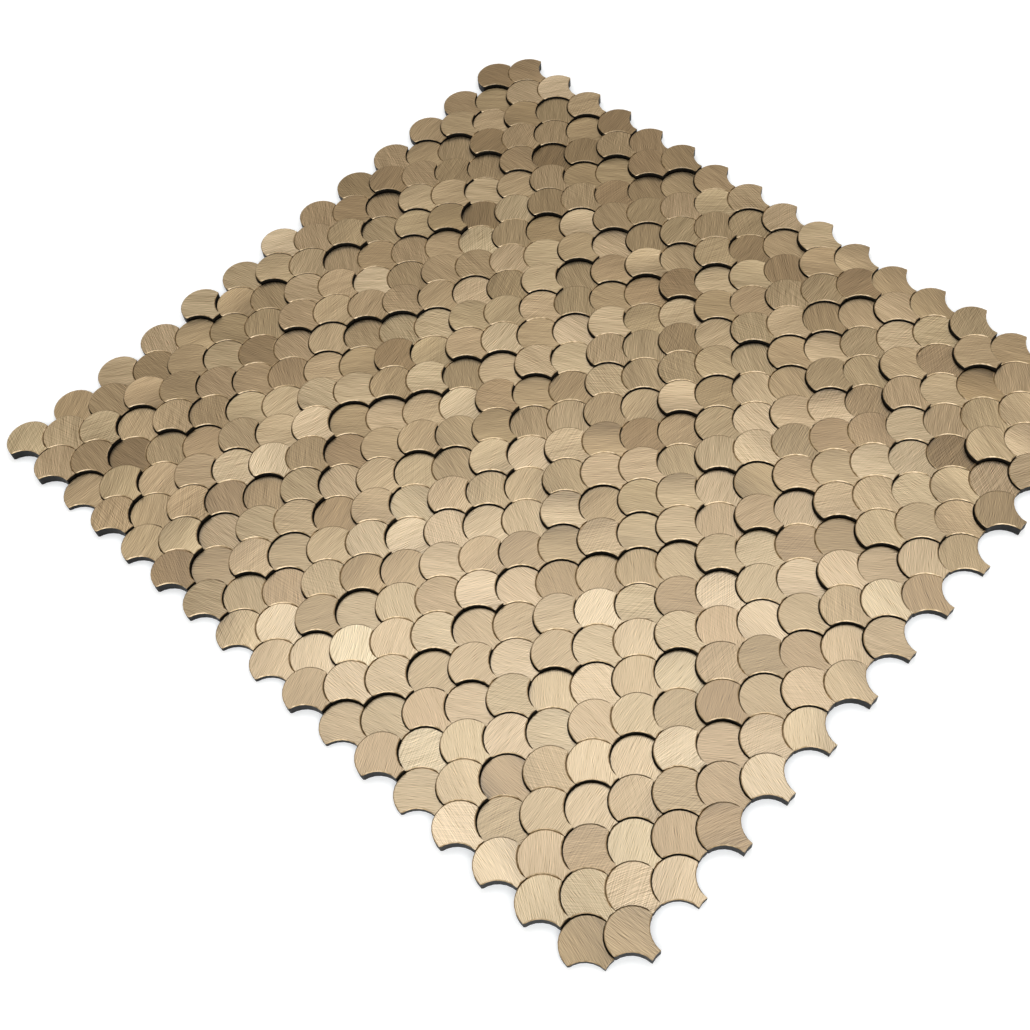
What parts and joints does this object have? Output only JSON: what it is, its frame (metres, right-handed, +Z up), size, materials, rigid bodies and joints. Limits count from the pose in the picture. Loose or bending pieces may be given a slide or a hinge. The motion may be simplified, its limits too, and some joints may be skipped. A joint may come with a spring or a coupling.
{
  "type": "self-adhesive metal mosaic tile",
  "caption": "Flat self-adhesive mosaic sheet of interlocking fish-scale chips in brushed champagne-gold metal, of uneven thickness, for covering walls.",
  "frame": {"origin": "centre of the sheet's outline, at the underside of the liner", "axes": "+X along the rows of scales, +Y towards the round crowns of the scales, +Z up out of the metal face"},
  "size_m": [0.2926, 0.3152, 0.0046],
  "materials": {
    "chip": "brushed, champagne-gold anodised face, with black plastic core at the punched edges",
    "adhesive": "dark mesh-reinforced acrylic adhesive film",
    "liner": "siliconised release paper"
  },
  "bodies": {
    "root": {"release_liner": "liner", "adhesive_film": "adhesive", "chip_row_01": "chip", "chip_row_02": "chip", "chip_row_03": "chip", "chip_row_04": "chip", "chip_row_05": "chip", "chip_row_06": "chip", "chip_row_07": "chip", "chip_row_08": "chip", "chip_row_09": "chip", "chip_row_10": "chip", "chip_row_11": "chip", "chip_row_12": "chip", "chip_row_13": "chip", "chip_row_14": "chip", "chip_row_15": "chip", "chip_row_16": "chip", "chip_row_17": "chip", "chip_row_18": "chip", "chip_row_19": "chip", "chip_row_20": "chip", "chip_row_21": "chip", "chip_row_22": "chip", "chip_row_23": "chip", "chip_row_24": "chip", "chip_row_25": "chip", "chip_row_26": "chip", "chip_row_27": "chip", "chip_row_28": "chip", "chip_row_29": "chip", "chip_row_30": "chip", "chip_row_31": "chip", "chip_row_32": "chip", "chip_row_33": "chip", "chip_row_34": "chip"}
  },
  "joints": []
}
